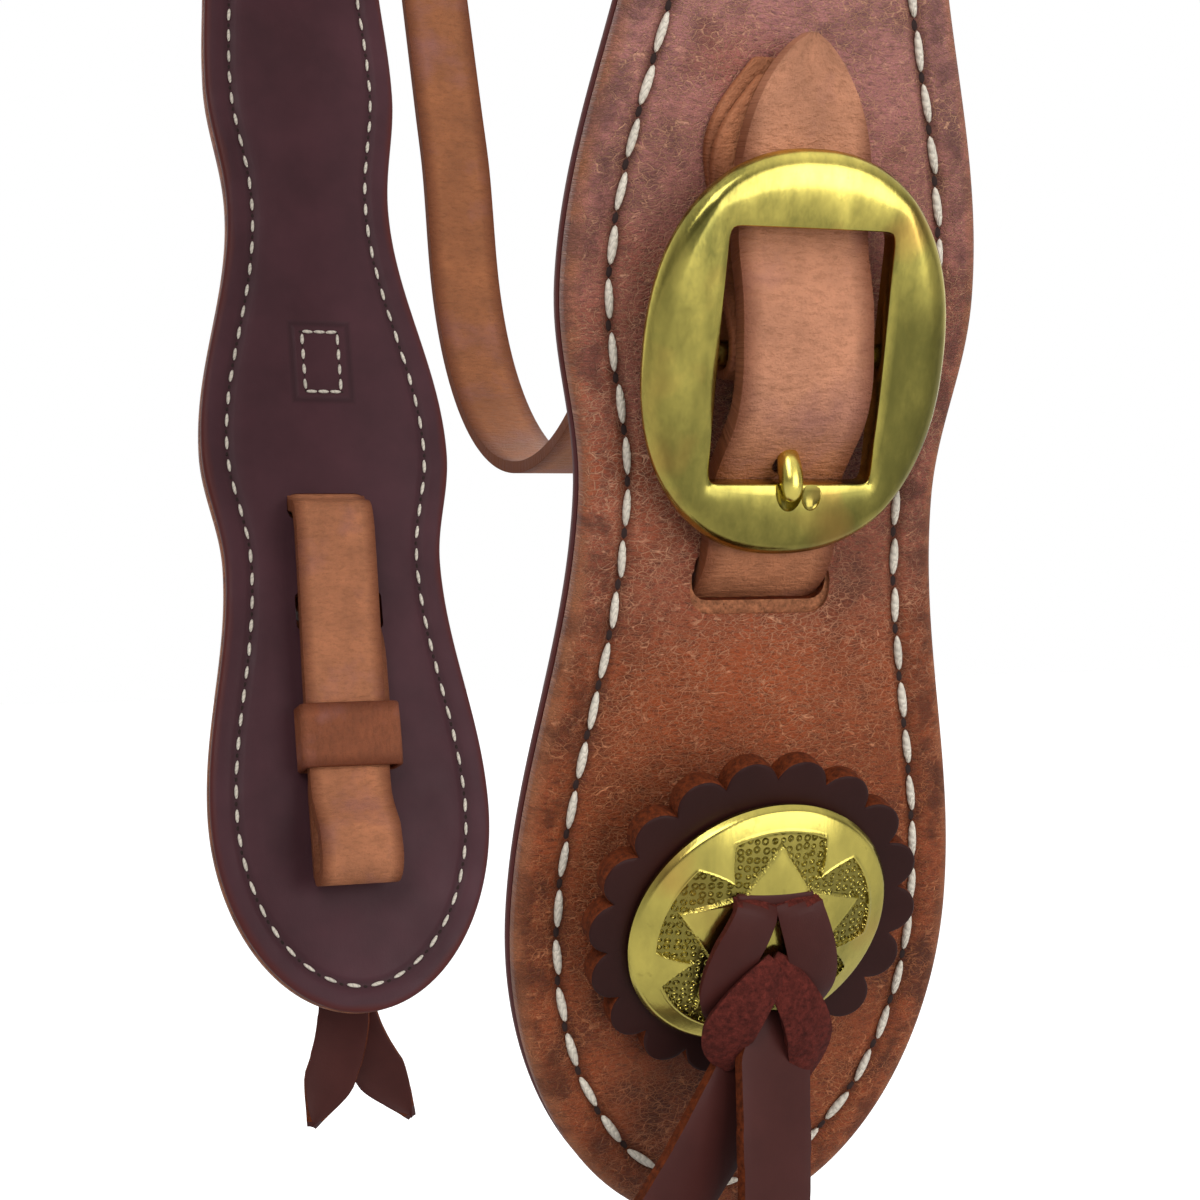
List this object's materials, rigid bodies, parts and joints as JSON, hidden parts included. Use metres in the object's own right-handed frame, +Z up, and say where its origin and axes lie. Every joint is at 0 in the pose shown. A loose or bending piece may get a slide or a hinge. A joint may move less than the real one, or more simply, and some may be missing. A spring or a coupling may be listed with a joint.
{
  "type": "western headstall",
  "caption": "Lined leather bridle headstall with scalloped cheeks, brass cart buckles, concho ties, browband and throatlatch.",
  "frame": {"origin": "under the middle of the crown, where the headstall hangs", "axes": "+X from the nose to the neck, +Y to the horse's right, +Z up"},
  "size_m": [0.1354, 0.293, 0.4581],
  "materials": {
    "russet_leather": "grained, burnished edge",
    "plum_leather": "smooth",
    "tan_leather": "creased, waxed",
    "white_thread": "twisted, waxed",
    "yellow_brass": "polished, stamped"
  },
  "bodies": {
    "headstall": {"cheek_leather_left": "russet_leather", "cheek_lining_left": "plum_leather", "grain_stitching_left": "white_thread", "lining_stitching_left": "white_thread", "box_stitching_left": "white_thread", "crown_stitching_left": "white_thread", "bit_strap_left": "tan_leather", "buckle_chape_left": "tan_leather", "buckle_frame_left": "yellow_brass", "rosette_left": "plum_leather", "concho_left": "yellow_brass", "tie_knot_left": "plum_leather", "cheek_leather_right": "russet_leather", "cheek_lining_right": "plum_leather", "grain_stitching_right": "white_thread", "lining_stitching_right": "white_thread", "box_stitching_right": "white_thread", "crown_stitching_right": "white_thread", "bit_strap_right": "tan_leather", "buckle_chape_right": "tan_leather", "buckle_frame_right": "yellow_brass", "rosette_right": "plum_leather", "concho_right": "yellow_brass", "tie_knot_right": "plum_leather", "crown_strap": "plum_leather", "browband": "russet_leather", "throatlatch_short_strap": "tan_leather", "throatlatch_long_strap": "tan_leather", "throatlatch_buckle": "yellow_brass"},
    "strap_keeper_left": {"strap_keeper_left": "tan_leather"},
    "buckle_tongue_left": {"buckle_tongue_left": "yellow_brass"},
    "tie_tail_front_left": {"tie_tail_front_left": "plum_leather"},
    "tie_tail_rear_left": {"tie_tail_rear_left": "plum_leather"},
    "strap_keeper_right": {"strap_keeper_right": "tan_leather"},
    "buckle_tongue_right": {"buckle_tongue_right": "yellow_brass"},
    "tie_tail_front_right": {"tie_tail_front_right": "plum_leather"},
    "tie_tail_rear_right": {"tie_tail_rear_right": "plum_leather"},
    "throatlatch_tongue": {"throatlatch_tongue": "yellow_brass"},
    "throatlatch_keeper": {"throatlatch_keeper": "tan_leather"}
  },
  "joints": [
    {"name": "buckle_tongue_left_hinge", "type": "hinge", "parent": "headstall", "child": "buckle_tongue_left", "pos_m": [0, -0.11662, -0.32721], "axis": [-1, 0, 0], "range_deg": [0, 25]},
    {"name": "strap_keeper_left_slide", "type": "slide", "parent": "headstall", "child": "strap_keeper_left", "axis": [0, -0.2079, 0.9781], "range_m": [0, 0.01]},
    {"name": "tie_tail_front_left_hinge", "type": "hinge", "parent": "headstall", "child": "tie_tail_front_left", "pos_m": [0, -0.1092, -0.41101], "axis": [-1, 0, 0], "range_deg": [0, 30]},
    {"name": "tie_tail_rear_left_hinge", "type": "hinge", "parent": "headstall", "child": "tie_tail_rear_left", "pos_m": [0, -0.10526, -0.41298], "axis": [-1, 0, 0], "range_deg": [-15, 0]},
    {"name": "buckle_tongue_right_hinge", "type": "hinge", "parent": "headstall", "child": "buckle_tongue_right", "pos_m": [0, 0.11662, -0.32721], "axis": [1, 0, 0], "range_deg": [0, 25]},
    {"name": "strap_keeper_right_slide", "type": "slide", "parent": "headstall", "child": "strap_keeper_right", "axis": [0, 0.2079, 0.9781], "range_m": [0, 0.01]},
    {"name": "tie_tail_front_right_hinge", "type": "hinge", "parent": "headstall", "child": "tie_tail_front_right", "pos_m": [0, 0.1092, -0.41101], "axis": [1, 0, 0], "range_deg": [0, 30]},
    {"name": "tie_tail_rear_right_hinge", "type": "hinge", "parent": "headstall", "child": "tie_tail_rear_right", "pos_m": [0, 0.10526, -0.41298], "axis": [1, 0, 0], "range_deg": [-15, 0]},
    {"name": "throatlatch_tongue_hinge", "type": "hinge", "parent": "headstall", "child": "throatlatch_tongue", "pos_m": [0.0125, -0.08909, -0.16275], "axis": [-1, 0, 0], "range_deg": [0, 18]},
    {"name": "throatlatch_keeper_slide", "type": "slide", "parent": "headstall", "child": "throatlatch_keeper", "axis": [0, -0.3094, 0.9509], "range_m": [0, 0.008]}
  ]
}
